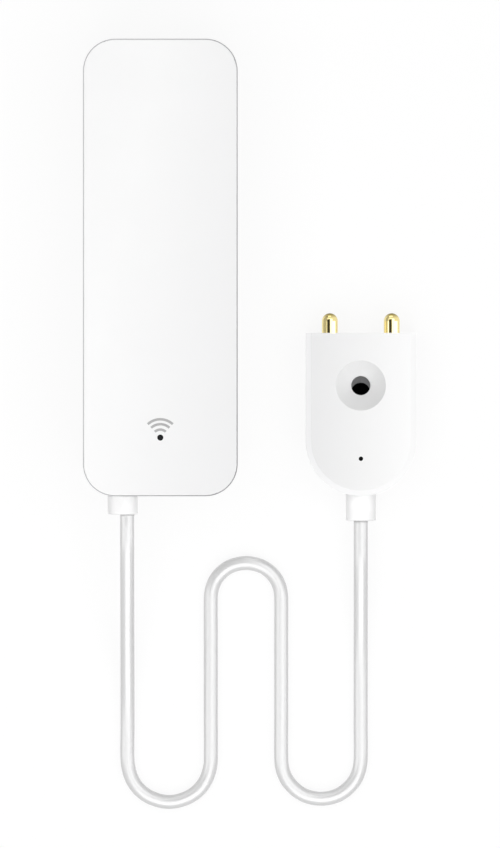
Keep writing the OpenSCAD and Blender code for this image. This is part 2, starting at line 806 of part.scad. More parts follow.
// Openings that both halves of the probe share: the pins and the collar
module probe_ports() {
    for (side = [-1, 1]) translate([side * pin_x, pin_face - cut, probe_z])
        rod(pin_d + fit_clear, probe_wall + 2 * cut);
    translate([0, -probe_w / 2 - cut, probe_z]) {
        rod(collar_d + fit_clear, cut + collar_sink);
        rod(neck_d + fit_clear, probe_w / 2 + cut + flange_face);
    }
}

module probe_front_shell() {
    inner_z = probe_t - probe_wall;
    slope = (sink_d - hole_d) / 2 / sink_depth;
    color("white") at_probe() difference() {
        union() {
            difference() {
                translate([0, 0, probe_z])
                    probe_form() bevel_profile(probe_w / 2, probe_t - probe_z, seam_round);
                translate([0, 0, probe_z - cut])
                    linear_extrude(inner_z - probe_z + cut) probe_outline(probe_wall);
            }
            translate([0, hole_y, probe_back_t]) cylinder(d = hole_boss_d, h = inner_z - probe_back_t + root);
        }
        translate([0, hole_y, 0]) cylinder(d = hole_d, h = probe_t);
        translate([0, hole_y, probe_t - sink_depth])
            cylinder(d1 = hole_d, d2 = sink_d + 2 * cut * slope, h = sink_depth + cut);
        translate([0, vent_y, inner_z - cut]) cylinder(d = vent_d, h = probe_wall + 2 * cut);
        probe_ports();
    }
}

module probe_back_shell() {
    color("whitesmoke") at_probe() difference() {
        union() {
            difference() {
                probe_form() rim_profile(probe_w / 2, probe_z, seam_round, back_round);
                translate([0, 0, probe_back_t]) linear_extrude(probe_t) probe_outline(probe_wall);
            }
            for (side = [-1, 1], y = [probe_board_low + peg_in, probe_board_top - peg_in])
                translate([side * (probe_board_w / 2 - peg_in), y, probe_back_t - root])
                    cylinder(d = peg_d, h = probe_board_z - probe_back_t + root);
        }
        translate([0, 0, -cut]) linear_extrude(pad_t + cut) probe_outline(pad_inset);
        translate([0, hole_y, 0]) cylinder(d = hole_d, h = probe_t);
        probe_ports();
    }
}

// Sensing pin along +Y with a domed tip and a flange behind the wall
module probe_pin(side) {
    color("gold") at_probe() translate([side * pin_x, pin_face, probe_z]) {
        translate([0, -pin_in, 0]) rod(pin_d, pin_in + probe_wall + pin_out - pin_d / 2);
        translate([0, -pin_flange_t, 0]) rod(pin_flange_d, pin_flange_t);
        translate([0, probe_wall + pin_out - pin_d / 2, 0]) rotate([-90, 0, 0])
            rotate_extrude() quarter_disc(pin_d / 2);
    }
}

module probe_pin_left() {
    probe_pin(-1);
}

module probe_pin_right() {
    probe_pin(1);
}

module probe_board() {
    color("darkgreen") at_probe() translate([0, 0, probe_board_z])
        linear_extrude(probe_board_t) difference() {
            translate([-probe_board_w / 2, probe_board_low])
                square([probe_board_w, probe_board_top - probe_board_low]);
            translate([0, hole_y]) circle(d = hole_boss_d + 6 * fit_clear);
        }
}

// Black sealing resin behind the pinhole
module probe_potting() {
    half = probe_inner_r - fit_clear;
    low = flange_face + flange_t + fit_clear;
    color("black") at_probe() translate([0, 0, pot_z])
        linear_extrude(probe_t - probe_wall - pot_z) intersection() {
            circle(half);
            translate([-half, low]) square([2 * half, -low]);
        }
}

module probe_grommet() {
    color("white") at_probe() translate([0, -probe_w / 2 - probe_collar_l, probe_z])
        grommet(probe_collar_l + collar_sink, flange_face + probe_w / 2 - collar_sink, 0);
}

module probe_lead_wires() {
    run = probe_w / 2 + probe_collar_l - core_bend_r;
    drop = probe_z - core_bend_r - probe_board_z - probe_board_t;
    color("crimson") at_probe() for (side = [-1, 1])
        translate([side * core_pitch / 2, -probe_w / 2 - probe_collar_l, probe_z]) mirror([0, 0, 1])
            bent_core(run, drop);
}

module probe_pad() {
    color("dimgray") at_probe() linear_extrude(pad_t) probe_outline(pad_inset + fit_clear);
}

front_cover();
rear_housing();
battery_door();
battery_left();
battery_right();
negative_plate();
negative_spring();
positive_contact();
bridge_strip();
bridge_spring();
main_board();
radio_module();
radio_shield();
board_components();
status_led();
status_lens();
tact_switch();
reset_button();
probe_header();
cable_grommet();
main_lead_wires();
case_screws();
probe_cable();
probe_front_shell();
probe_back_shell();
probe_pin_left();
probe_pin_right();
probe_board();
probe_potting();
probe_grommet();
probe_lead_wires();
probe_pad();
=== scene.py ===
import json

import bpy
import numpy as np
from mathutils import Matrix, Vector


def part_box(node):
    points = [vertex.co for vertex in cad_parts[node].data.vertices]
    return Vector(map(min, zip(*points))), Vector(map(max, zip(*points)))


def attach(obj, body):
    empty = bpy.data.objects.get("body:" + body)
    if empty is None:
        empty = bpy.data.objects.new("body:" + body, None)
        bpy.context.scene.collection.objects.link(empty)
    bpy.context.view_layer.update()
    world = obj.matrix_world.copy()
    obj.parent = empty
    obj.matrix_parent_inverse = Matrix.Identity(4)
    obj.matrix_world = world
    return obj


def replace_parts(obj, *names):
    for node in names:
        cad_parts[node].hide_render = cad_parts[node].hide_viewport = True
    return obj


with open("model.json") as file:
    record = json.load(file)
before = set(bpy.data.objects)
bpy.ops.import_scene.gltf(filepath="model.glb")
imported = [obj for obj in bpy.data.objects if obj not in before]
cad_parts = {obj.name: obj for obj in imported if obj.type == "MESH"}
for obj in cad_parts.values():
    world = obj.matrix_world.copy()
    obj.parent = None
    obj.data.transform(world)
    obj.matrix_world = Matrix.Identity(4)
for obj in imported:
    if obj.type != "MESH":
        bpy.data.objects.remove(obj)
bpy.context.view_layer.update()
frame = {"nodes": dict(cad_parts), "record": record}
nodes = frame["nodes"]
screwHole = next(m for m in frame["record"]["mounts"] if m["name"] == "probe_screw_hole")["pos_m"]
mm = 0.001  # one millimetre in scene units


# Camera: straight above the front, far off with a long lens, so that the side walls stay hidden
photoView = {
    "centre": (13.92, -24.29),  # what lies under the middle of the picture, mm
    "height": 132.0,            # what the picture's long side shows, mm
    "level": 10.0,              # height above the floor at which it shows that much, mm
    "lens": 800.0,              # mm
    "sensor": 36.0,             # mm
    "sight": 20.0,              # how far the camera sees, m
}


def makeCamera(look):
    # distance above the level = shown height * lens / sensor width
    data = bpy.data.cameras.new("camera")
    data.lens = look["lens"]
    data.sensor_width = look["sensor"]
    data.clip_end = look["sight"]
    camera = bpy.data.objects.new("camera", data)
    distance = look["height"] * look["lens"] / look["sensor"]
    camera.location = (look["centre"][0] * mm, look["centre"][1] * mm, (look["level"] + distance) * mm)
    bpy.context.scene.collection.objects.link(camera)
    bpy.context.scene.camera = camera


makeCamera(photoView)
print("camera ready")


# Shapes: grids of points that are worked out as whole arrays

def unit(vectors):
    # each vector divided by its own length
    return vectors / np.linalg.norm(vectors, axis=-1, keepdims=True)


def smoothRoute(points, steps):
    # cubic spans: the slope at a point is the mean of its two chords' directions, led by the longer chord
    chord = np.diff(points, axis=0)
    length = np.linalg.norm(chord, axis=1, keepdims=True)
    lean = chord / length
    weight = length ** 4   # so a long straight chord keeps its direction right up to the bend
    inner = (lean[:-1] * weight[:-1] + lean[1:] * weight[1:]) / (weight[:-1] + weight[1:])
    slope = np.vstack([lean[:1], inner, lean[-1:]])
    t = np.linspace(0, 1, steps, endpoint=False)[None, :, None]
    start, stop = points[:-1, None], points[1:, None]
    leave, arrive = (slope[:-1] * length)[:, None], (slope[1:] * length)[:, None]
    rise = t * t * (3 - 2 * t)
    spans = start + (stop - start) * rise + leave * t * (1 - t) ** 2 - arrive * t * t * (1 - t)
    return np.vstack([spans.reshape(-1, 3), points[-1:]])


def roundProfile(radius, sides):
    # circle: radius times cosine and sine of the turn
    turn = np.linspace(0, 2 * np.pi, sides, endpoint=False)
    return radius * np.column_stack([np.cos(turn), np.sin(turn)])


def sweep(name, centres, up, profile):
    # every point = path centre + profile x * sideways + profile y * upward, square to the path
    along = unit(np.gradient(centres, axis=0))
    sideways = unit(np.cross(np.broadcast_to(up, centres.shape), along))
    upward = np.cross(along, sideways)
    rings = (centres[:, None] + profile[None, :, :1] * sideways[:, None]
             + profile[None, :, 1:] * upward[:, None])
    rows, sides = rings.shape[:2]
    row = np.arange(rows - 1)[:, None] * sides
    column = np.arange(sides)[None, :]
    following = (column + 1) % sides
    quads = np.stack([row + column, row + following,
                      row + sides + following, row + sides + column], axis=-1)
    caps = [list(range(sides))[::-1], list(range((rows - 1) * sides, rows * sides))]
    mesh = bpy.data.meshes.new(name)
    mesh.from_pydata(rings.reshape(-1, 3).tolist(), [], quads.reshape(-1, 4).tolist() + caps)
    wall = np.ones(len(mesh.polygons), dtype=bool)
    wall[-2:] = False
    mesh.polygons.foreach_set("use_smooth", wall)

    # UV map in metres: round the profile, then along the path
    walked = np.concatenate([[0], np.cumsum(np.linalg.norm(np.diff(centres, axis=0), axis=1))])
    girth = np.linalg.norm(profile[0] - profile[-1]) * sides
    around = np.stack([column, column + 1, column + 1, column], -1) / sides * girth
    length = np.stack([walked[:-1], walked[:-1], walked[1:], walked[1:]], -1)[:, None]
    uv = np.zeros((len(mesh.loops), 2))
    uv[:quads.size, 0] = np.broadcast_to(around, quads.shape).ravel()
    uv[:quads.size, 1] = np.broadcast_to(length, quads.shape).ravel()
    mesh.uv_layers.new(name="length").data.foreach_set("uv", uv.ravel())
    mesh.update()
    return mesh


def addPiece(name, mesh, body, paint):
    # new object at the origin, with its place in its mesh; it rides on a body
    piece = bpy.data.objects.new(name, mesh)
    bpy.context.scene.collection.objects.link(piece)
    mesh.materials.append(paint)
    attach(piece, body)
    return piece


# Finishes: each is a node material on Object coordinates, in metres
noiseSpan = (0.3, 0.7)      # where nearly all values of a cloudy pattern lie
patchSpan = (0.35, 0.65)    # a little narrower, for plainer patches
plasticIor = 1.5


def newFinish(name):
    # plain node material, its tree, its shader and its coordinates
    made = bpy.data.materials.new(f"{name}_look")
    made.use_nodes = True
    shader = made.node_tree.nodes["Principled BSDF"]
    place = made.node_tree.nodes.new("ShaderNodeTexCoord")
    return made, made.node_tree, shader, place


def noiseOf(tree, place, size, detail=2.0, stretch=(1, 1, 1)):
    # cloudy pattern whose patches are about size mm across, drawn out along an axis by its stretch
    mapping = tree.nodes.new("ShaderNodeMapping")
    mapping.inputs["Scale"].default_value = [1 / (size * mm * s) for s in stretch]
    noise = tree.nodes.new("ShaderNodeTexNoise")
    noise.inputs["Scale"].default_value = 1.0
    noise.inputs["Detail"].default_value = detail
    tree.links.new(place, mapping.inputs["Vector"])
    tree.links.new(mapping.outputs["Vector"], noise.inputs["Vector"])
    return noise.outputs["Fac"]


def between(tree, value, span, out):
    # straight map of a value from its span to another one
    node = tree.nodes.new("ShaderNodeMapRange")
    tree.links.new(value, node.inputs["Value"])
    for socket, number in zip(("From Min", "From Max", "To Min", "To Max"), (*span, *out)):
        node.inputs[socket].default_value = number
    return node.outputs["Result"]


def blendColours(tree, share, first, second):
    # first * (1 - share) + second * share, for colours or colour sockets
    node = tree.nodes.new("ShaderNodeMix")
    node.data_type = "RGBA"
    tree.links.new(share, node.inputs["Factor"])
    for socket, colour in zip((node.inputs[6], node.inputs[7]), (first, second)):   # its two colour sockets
        if isinstance(colour, bpy.types.NodeSocket):
            tree.links.new(colour, socket)
        else:
            socket.default_value = (*colour, 1.0)
    return node.outputs[2]


def addBump(tree, shader, height, depth):
    # relief: height from 0 to 1 stands for a depth in mm
    node = tree.nodes.new("ShaderNodeBump")
    node.inputs["Distance"].default_value = depth * mm
    tree.links.new(height, node.inputs["Height"])
    tree.links.new(node.outputs["Normal"], shader.inputs["Normal"])


def axisOf(tree, place, axis):
    # one coordinate of a place, by its letter
    node = tree.nodes.new("ShaderNodeSeparateXYZ")
    tree.links.new(place, node.inputs["Vector"])
    return node.outputs[axis]


def steppedShare(tree, value, at):
    # 0 before a place and 1 after it
    node = tree.nodes.new("ShaderNodeMath")
    node.operation = "GREATER_THAN"
    tree.links.new(value, node.inputs[0])
    node.inputs[1].default_value = at
    return node.outputs[0]


def nearby(tree, value, middle, reach):
    # 1 within a reach of the middle, else 0
    node = tree.nodes.new("ShaderNodeMath")
    node.operation = "COMPARE"
    tree.links.new(value, node.inputs[0])
    node.inputs[1].default_value, node.inputs[2].default_value = middle, reach
    return node.outputs[0]


def combined(tree, operation, first, second):
    # one value from two, by a named sum such as MULTIPLY or MAXIMUM
    node = tree.nodes.new("ShaderNodeMath")
    node.operation = operation
    tree.links.new(first, node.inputs[0])
    tree.links.new(second, node.inputs[1])
    return node.outputs[0]


def distanceAlong(tree, spot, direction):
    # how far a place lies along a direction: the sum of its coordinates times the direction's
    node = tree.nodes.new("ShaderNodeVectorMath")
    node.operation = "DOT_PRODUCT"
    tree.links.new(spot, node.inputs[0])
    node.inputs[1].default_value = direction
    return node.outputs["Value"]


def withinReach(tree, spot, centre, radius):
    # 1 inside an upright cylinder, else 0: the distance from its axis is measured in the plan
    plan = tree.nodes.new("ShaderNodeVectorMath")
    plan.operation = "MULTIPLY"
    tree.links.new(spot, plan.inputs[0])
    plan.inputs[1].default_value = (1, 1, 0)
    away = tree.nodes.new("ShaderNodeVectorMath")
    away.operation = "DISTANCE"
    tree.links.new(plan.outputs["Vector"], away.inputs[0])
    away.inputs[1].default_value = (*centre, 0)
    return nearby(tree, away.outputs["Value"], 0, radius)


def twoTones(tree, pattern, span, look):
    # the look's colour where the pattern is low in its span, and its shade where it is high
    return blendColours(tree, between(tree, pattern, span, (0, 1)), look["colour"], look["shade"])


def addGloss(tree, shader, pattern, gloss):
    # roughness from the lower to the higher one of a pair, as the pattern rises
    tree.links.new(between(tree, pattern, noiseSpan, gloss), shader.inputs["Roughness"])


def mouldedPlastic(name, look):
    # two close tones in soft patches, painted light and shade as a lean from side to side, and a fine grain
    # in gloss and relief
    made, tree, shader, place = newFinish(name)
    spot = place.outputs["Object"]
    tone = twoTones(tree, noiseOf(tree, spot, look["patch"]), patchSpan, look)
    # painted light and shade: the tone leans towards the far tone along a direction across the face
    if "lean" in look:
        reach = [x * mm for x in look["lean"]]
        across = between(tree, distanceAlong(tree, spot, look["towards"]), reach, (0, 1))
        tone = blendColours(tree, across, tone, look["far"])
    if "rim" in look:   # painted light and shade on the rounded or sloping edge of the face, with the same lean
        low, high = look["rim"]
        onEdge = nearby(tree, axisOf(tree, spot, "Z"), (low + high) / 2 * mm, (high - low) / 2 * mm)
        edgeShading = blendColours(tree, across, look["rimShading"], look["rimShadingFar"])
        tone = blendColours(tree, onEdge, tone, edgeShading)
    if "sink" in look:   # painted light and shade inside the screw's countersink, as another lean of tone
        radius = look["sink"] * mm
        middle = np.dot(screwHole, look["sinkTowards"])
        slant = distanceAlong(tree, spot, look["sinkTowards"])
        slope = between(tree, slant, (middle - radius, middle + radius), (0, 1))
        inside = blendColours(tree, slope, look["sinkLight"], look["sinkShade"])
        tone = blendColours(tree, withinReach(tree, spot, screwHole[:2], radius), tone, inside)
    grain = noiseOf(tree, spot, look["grain"], detail=3.0)
    tree.links.new(tone, shader.inputs["Base Color"])
    addGloss(tree, shader, grain, look["gloss"])
    addBump(tree, shader, grain, look["depth"])
    shader.inputs["IOR"].default_value = look.get("ior", plasticIor)
    if "skin" in look:   # smooth outer skin of a soft moulding, with a bloom towards its sides
        shader.inputs["Coat Weight"].default_value = 1.0
        shader.inputs["Coat Roughness"].default_value = look["skin"]
        shader.inputs["Sheen Weight"].default_value = look["bloom"]
        shader.inputs["Sheen Roughness"].default_value = look["bloomSpread"]
    return made


def platedMetal(name, look):
    # metal with faint marks drawn out along its working direction
    made, tree, shader, place = newFinish(name)
    spot = place.outputs["Object"]
    marks = noiseOf(tree, spot, look["mark"], detail=4.0, stretch=look["stretch"])
    tone = twoTones(tree, marks, noiseSpan, look)
    if "tip" in look:   # painted dark reflection towards the end that is furthest along Y
        nearTip = between(tree, axisOf(tree, spot, "Y"), [y * mm for y in look["tip"]], (0, 1))
        tone = blendColours(tree, nearTip, tone, look["tipDarkReflection"])
    tree.links.new(tone, shader.inputs["Base Color"])
    addGloss(tree, shader, marks, look["gloss"])
    shader.inputs["Metallic"].default_value = 1.0
    addBump(tree, shader, marks, look["depth"])
    return made


# In mm: patch, grain and mark are sizes of a pattern, depth is its relief; lean, rim and tip are places
coverLook = {
    "colour": (0.85, 0.85, 0.85), "shade": (0.842, 0.842, 0.842), "patch": 9.0,
    # lean and far: painted shade towards the right and lower side of the face; rim: a painted shade line on
    # the face's rounded edge, darker towards the right
    "towards": (1.0, -0.2, 0.0), "lean": (-7.0, 18.0), "far": (0.745, 0.745, 0.75),
    "rim": (18.70, 18.965), "rimShading": (0.52, 0.52, 0.53), "rimShadingFar": (0.26, 0.26, 0.27),
    "grain": 0.5, "gloss": (0.3, 0.36), "depth": 0.0006,
}
probeLook = {
    "colour": (0.72, 0.72, 0.725), "shade": (0.715, 0.715, 0.715), "patch": 7.0,
    # lean and far: painted light towards the right of the face; rim: painted light on the left of the
    # sloping edge and painted shade on its right; sink: painted light on the upper left of the countersink
    # and painted shade on its lower right
    "towards": (1.0, 0.0, 0.0), "lean": (24.0, 38.5), "far": (0.845, 0.845, 0.845),
    "rim": (7.70, 7.98), "rimShading": (0.785, 0.785, 0.79), "rimShadingFar": (0.825, 0.825, 0.825),
    "sink": 3.88, "sinkTowards": (0.9, -0.4, 0.0),
    "sinkLight": (0.81, 0.81, 0.81), "sinkShade": (0.70, 0.70, 0.70),
    "grain": 0.5, "gloss": (0.3, 0.36), "depth": 0.0006,
}
housingLook = {
    "colour": (0.80, 0.80, 0.80), "shade": (0.785, 0.785, 0.785), "patch": 6.0,
    "grain": 0.25, "gloss": (0.46, 0.58), "depth": 0.003,
}
collarLook = {
    "colour": (0.92, 0.92, 0.92), "shade": (0.905, 0.905, 0.905), "patch": 2.0,
    "grain": 0.3, "gloss": (0.36, 0.46), "depth": 0.001,
    "skin": 0.35, "bloom": 0.5, "bloomSpread": 0.4,
}
buttonLook = {
    "colour": (0.52, 0.52, 0.52), "shade": (0.49, 0.49, 0.49), "patch": 1.2,
    "grain": 0.2, "gloss": (0.45, 0.6), "depth": 0.002,
}
headerLook = {
    "colour": (0.80, 0.77, 0.66), "shade": (0.77, 0.73, 0.62), "patch": 1.5,
    "grain": 0.2, "gloss": (0.4, 0.55), "depth": 0.001,
}
chipLook = {
    "colour": (0.030, 0.030, 0.032), "shade": (0.040, 0.040, 0.042), "patch": 0.8,
    "grain": 0.1, "gloss": (0.5, 0.7), "depth": 0.002,
}
ledLook = {
    "colour": (0.85, 0.82, 0.55), "shade": (0.9, 0.88, 0.75), "patch": 0.6,
    "grain": 0.2, "gloss": (0.1, 0.2), "depth": 0.0005,
}
lensLook = {
    "colour": (0.012, 0.012, 0.013), "shade": (0.024, 0.024, 0.026), "patch": 0.5,
    "grain": 0.2, "gloss": (0.5, 0.6), "depth": 0.0005, "ior": 1.12,
}
resinLook = {
    "colour": (0.010, 0.010, 0.010), "shade": (0.014, 0.014, 0.014), "patch": 1.5,
    "grain": 0.3, "gloss": (0.5, 0.6), "depth": 0.002, "ior": 1.2,
}
wireLook = {
    "colour": (0.50, 0.03, 0.03), "shade": (0.42, 0.025, 0.025), "patch": 1.2,
    "grain": 0.3, "gloss": (0.3, 0.45), "depth": 0.001,
}
goldLook = {
    "colour": (0.92, 0.79, 0.38), "shade": (0.86, 0.72, 0.33), "mark": 0.12, "stretch": (6, 1, 6),
    # tip and its tone: a painted dark reflection on the pins' rounded tips
    "gloss": (0.02, 0.05), "depth": 0.00005, "tip": (-7.75, -7.15), "tipDarkReflection": (0.25, 0.19, 0.04),
}
nickelLook = {
    "colour": (0.66, 0.65, 0.62), "shade": (0.58, 0.57, 0.55), "mark": 0.1, "stretch": (1, 1, 12),
    "gloss": (0.22, 0.38), "depth": 0.0006,
}
steelLook = {
    "colour": (0.60, 0.60, 0.61), "shade": (0.50, 0.50, 0.51), "mark": 0.15, "stretch": (1, 1, 4),
    "gloss": (0.25, 0.4), "depth": 0.001,
}
tinLook = {
    "colour": (0.66, 0.66, 0.65), "shade": (0.60, 0.60, 0.58), "mark": 0.2, "stretch": (10, 1, 1),
    "gloss": (0.3, 0.45), "depth": 0.0006,
}

finish = {
    "cover": mouldedPlastic("cover_white", coverLook),
    "probe": mouldedPlastic("probe_white", probeLook),
    "housing": mouldedPlastic("housing_white", housingLook),
    "collar": mouldedPlastic("collar_white", collarLook),
    "button": mouldedPlastic("button_grey", buttonLook),
    "header": mouldedPlastic("header_ivory", headerLook),
    "chip": mouldedPlastic("chip_black", chipLook),
    "led": mouldedPlastic("led_clear", ledLook),
    "lens": mouldedPlastic("lens_smoke", lensLook),
    "resin": mouldedPlastic("resin_black", resinLook),
    "wire": mouldedPlastic("wire_red", wireLook),
    "gold": platedMetal("pin_gold", goldLook),
    "nickel": platedMetal("contact_nickel", nickelLook),
    "steel": platedMetal("screw_steel", steelLook),
    "tin": platedMetal("shield_tin", tinLook),
}
print("finishes ready:", len(finish))


# Cable: the route repeats the solid's points, in mm
cable = {
    "diameter": 2.2,
    "route": [
        (-5.2, -38.4, 9.5), (-5.2, -40.8, 9.5), (-5.2, -44, 9.3), (-5.2, -48, 8.4), (-5.2, -52, 7),
        (-5.2, -56, 5.4), (-5.2, -60, 3.8), (-5.2, -64, 2.4), (-5.2, -68, 1.5), (-5.2, -72, 1.15),
        (-5.2, -76.8, 1.1), (-4.3, -80.1, 1.1), (-2, -82.4, 1.1), (1.3, -83.3, 1.1),
        (4.6, -82.4, 1.1), (6.9, -80.1, 1.1), (7.8, -76.8, 1.1), (7.8, -70.5, 1.1), (7.8, -64, 1.1),
        (7.8, -57.5, 1.1), (7.8, -51.5, 1.1), (8.5, -48.7, 1.1), (10.5, -46.7, 1.1), (13.3, -46, 1.1),
        (16.1, -46.7, 1.1), (18.1, -48.7, 1.1), (18.8, -51.5, 1.1), (18.8, -57.5, 1.1), (18.8, -64, 1.1),
        (18.8, -70.5, 1.1), (18.8, -76.6, 1.1), (19.6, -79.7, 1.1), (21.9, -82, 1.1), (25, -82.8, 1.1),
        (28.1, -82, 1.1), (30.4, -79.7, 1.1), (31.2, -76.6, 1.1), (31.2, -71.5, 1.1), (31.2, -66, 1.1),
        (31.2, -61.5, 1.2), (31.2, -57.5, 1.6), (31.2, -53.5, 2.4), (31.2, -49.5, 3.3), (31.2, -46, 3.9),
        (31.2, -43, 4), (31.2, -39.4, 4),
    ],
    "stepsPerSpan": 10,
    "sides": 32,
    "colour": (0.58, 0.58, 0.58), "shade": (0.572, 0.572, 0.575),
    "gloss": (0.24, 0.29), "skin": 0.32, "skinIor": 2.40,
    "drawMark": 0.2, "drawStretch": 40.0, "depth": 0.0003,
}


def cableJacket(look):
    # soft jacket with faint marks drawn out along the cable, read from its own length map
    made, tree, shader, place = newFinish("cable_white")
    spot = place.outputs["UV"]
    marks = noiseOf(tree, spot, look["drawMark"], stretch=(1, look["drawStretch"], 1))
    tree.links.new(twoTones(tree, marks, noiseSpan, look), shader.inputs["Base Color"])
    addGloss(tree, shader, marks, look["gloss"])
    shader.inputs["Coat Weight"].default_value = 1.0
    shader.inputs["Coat Roughness"].default_value = look["skin"]
    shader.inputs["Coat IOR"].default_value = look["skinIor"]
    addBump(tree, shader, marks, look["depth"])
    return made


def makeCable(look):
    # round tube along the smoothed route; its length is the sum of the path's steps
    path = smoothRoute(np.array(look["route"]) * mm, look["stepsPerSpan"])
    tube = sweep("cable", path, (0, 0, 1), roundProfile(look["diameter"] / 2 * mm, look["sides"]))
    piece = addPiece("cable", tube, "sensor", cableJacket(look))
    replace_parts(piece, "probe_cable")


makeCable(cable)


# Contact springs: a short stub out of the plate, then a cone of turns up to the cell
spring = {
    "wire": 0.6, "seatRadius": 3.0, "tipRadius": 1.9, "turns": 3, "length": 4.5, "tipGap": 0.05,
    "coneFrom": 1.5,   # height at which the turns start, in wires
    "stepsPerTurn": 12, "stepsPerSpan": 5, "sides": 16,
}


def springPath(look):
    # radius shrinks and height grows in step with the turn; the axis is +Y and the plate is y = 0
    start = look["coneFrom"] * look["wire"]
    turn = np.arange(1, look["turns"] * look["stepsPerTurn"] + 1) / look["stepsPerTurn"]
    share = turn / look["turns"]
    radius = look["seatRadius"] + (look["tipRadius"] - look["seatRadius"]) * share
    rise = start + (look["length"] - start - look["wire"] / 2 - look["tipGap"]) * share
    cone = np.column_stack([radius * np.cos(2 * np.pi * turn), rise, radius * np.sin(2 * np.pi * turn)])
    stub = np.array([[look["seatRadius"], 0, 0], [look["seatRadius"], look["wire"], 0]])
    return smoothRoute(np.vstack([stub, cone]), look["stepsPerSpan"]) * mm


def cellAxis(node):
    # x and z at the middle of a node's box
    low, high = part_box(node)
    return (low.x + high.x) / 2, (low.z + high.z) / 2


def makeSpring(name, cellNode, seat, facing, node):
    # facing 1 points the spring along +Y; -1 turns it half a turn about Z
    path = springPath(spring)
    outward = path * (1, 0, 1)
    x, z = cellAxis(cellNode)
    turned = (facing, facing, 1)
    mesh = sweep(name, path * turned + (x, seat, z), outward * turned,
                 roundProfile(spring["wire"] / 2 * mm, spring["sides"]))
    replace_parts(addPiece(name, mesh, "sensor", finish["nickel"]), node)


makeSpring("negative_contact_spring", "battery_right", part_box("negative_plate")[1].y, 1, "negative_spring")
makeSpring("bridge_contact_spring", "battery_left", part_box("bridge_strip")[0].y, -1, "bridge_spring")
print("springs wound")


# Signal symbol: three printed arcs above the status lens
symbol = {"radii": (1.24, 2.08, 2.84), "stroke": 0.39, "halfAngle": 43.0, "ink": 0.012, "steps": 40}
inkLook = {
    "colour": (0.37, 0.37, 0.37), "shade": (0.41, 0.41, 0.41), "patch": 0.4,
    "grain": 0.1, "gloss": (0.5, 0.6), "depth": 0.0005, "ior": 1.3,
}


def makeSymbol(look):
    # each arc = flat stroke carried round the lens from one side angle to the other
    low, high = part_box("status_lens")
    middle = np.array([(low.x + high.x) / 2, (low.y + high.y) / 2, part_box("front_cover")[1].z])
    half, ink = look["stroke"] / 2 * mm, look["ink"] * mm
    stroke = np.array([(-half, -ink), (half, -ink), (half, 0),
                       (half - ink, ink), (ink - half, ink), (-half, 0)])
    turn = np.radians(np.linspace(90 - look["halfAngle"], 90 + look["halfAngle"], look["steps"]))
    ring = np.column_stack([np.cos(turn), np.sin(turn), np.zeros_like(turn)])
    paint = mouldedPlastic("symbol_ink", inkLook)
    for number, radius in enumerate(look["radii"], 1):
        mesh = sweep(f"signal_arc_{number}", middle + radius * mm * ring, (0, 0, 1), stroke)
        mesh.polygons.foreach_set("use_smooth", np.zeros(len(mesh.polygons), dtype=bool))
        addPiece(f"signal_arc_{number}", mesh, "sensor", paint)


makeSymbol(symbol)
print("symbol printed")


# Cells: a dark jacket with a pale band and polarity marks, and bare metal at both ends
cell = {
    "jacket": (0.016, 0.018, 0.020), "jacketShade": (0.024, 0.026, 0.029), "patch": 2.5,
    "band": (0.50, 0.51, 0.52), "bandFrom": 0.66,   # the band starts at this share of the length
    "metal": (0.62, 0.61, 0.58), "shoulder": 1.25, "flatEnd": 0.3,   # how much of both ends is bare, mm
    "markLength": 2.6, "markStroke": 0.6, "markIn": 5.5,
    "grain": 0.3, "gloss": (0.22, 0.34), "depth": 0.0008,
}


def printedBar(tree, spot, x, y, size):
    # upright block of the given width and length: whatever surface lies in it is printed
    return combined(tree, "MULTIPLY", nearby(tree, axisOf(tree, spot, "X"), x, size[0] / 2 * mm),
                    nearby(tree, axisOf(tree, spot, "Y"), y, size[1] / 2 * mm))


def cellFinish(name, node, nubEnd):
    # along = 0 at the flat end and 1 at the nub's end, by the place along Y in the cell's box
    low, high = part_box(node)
    ends = (low.y, high.y) if nubEnd == "top" else (high.y, low.y)
    length = high.y - low.y
    made, tree, shader, place = newFinish(name)
    spot = place.outputs["Object"]
    along = between(tree, axisOf(tree, spot, "Y"), ends, (0, 1))
    patches = noiseOf(tree, spot, cell["patch"])
    tone = blendColours(tree, patches, cell["jacket"], cell["jacketShade"])
    tone = blendColours(tree, steppedShare(tree, along, cell["bandFrom"]), tone, cell["band"])
    capStart = 1 - cell["shoulder"] * mm / length   # the shoulder inside the jacket's lip
    tone = blendColours(tree, steppedShare(tree, along, capStart), tone, cell["metal"])
    flat = steppedShare(tree, along, cell["flatEnd"] * mm / length)
    tone = blendColours(tree, flat, cell["metal"], tone)
    middle, step = (low.x + high.x) / 2, cell["markIn"] * mm * (1 if nubEnd == "top" else -1)
    across, upright = (cell["markLength"], cell["markStroke"]), (cell["markStroke"], cell["markLength"])
    plus = combined(tree, "MAXIMUM", printedBar(tree, spot, middle, ends[1] - step, across),
                    printedBar(tree, spot, middle, ends[1] - step, upright))
    minus = printedBar(tree, spot, middle, ends[0] + step, across)
    tone = blendColours(tree, plus, tone, cell["jacket"])
    tone = blendColours(tree, minus, tone, cell["band"])
    tree.links.new(tone, shader.inputs["Base Color"])
    grain = noiseOf(tree, spot, cell["grain"], detail=3.0)
    addGloss(tree, shader, grain, cell["gloss"])
    bare = combined(tree, "MAXIMUM", steppedShare(tree, along, capStart),
                    between(tree, flat, (0, 1), (1, 0)))
    tree.links.new(bare, shader.inputs["Metallic"])
    addBump(tree, shader, grain, cell["depth"])
    return made


# Boards: solder mask with the faint relief of the tracks under it; a pair is the tone of mask and of tracks
board = {
    "green": ((0.012, 0.10, 0.035), (0.02, 0.15, 0.055)),
    "blue": ((0.010, 0.020, 0.075), (0.016, 0.032, 0.11)),
    "weaveScale": (700, 380, 700),   # makes fields of about 0.14 mm
    "otherField": 0.7, "trackWidth": 0.06, "patch": 0.8, "gloss": (0.25, 0.4), "depth": 0.01,
}


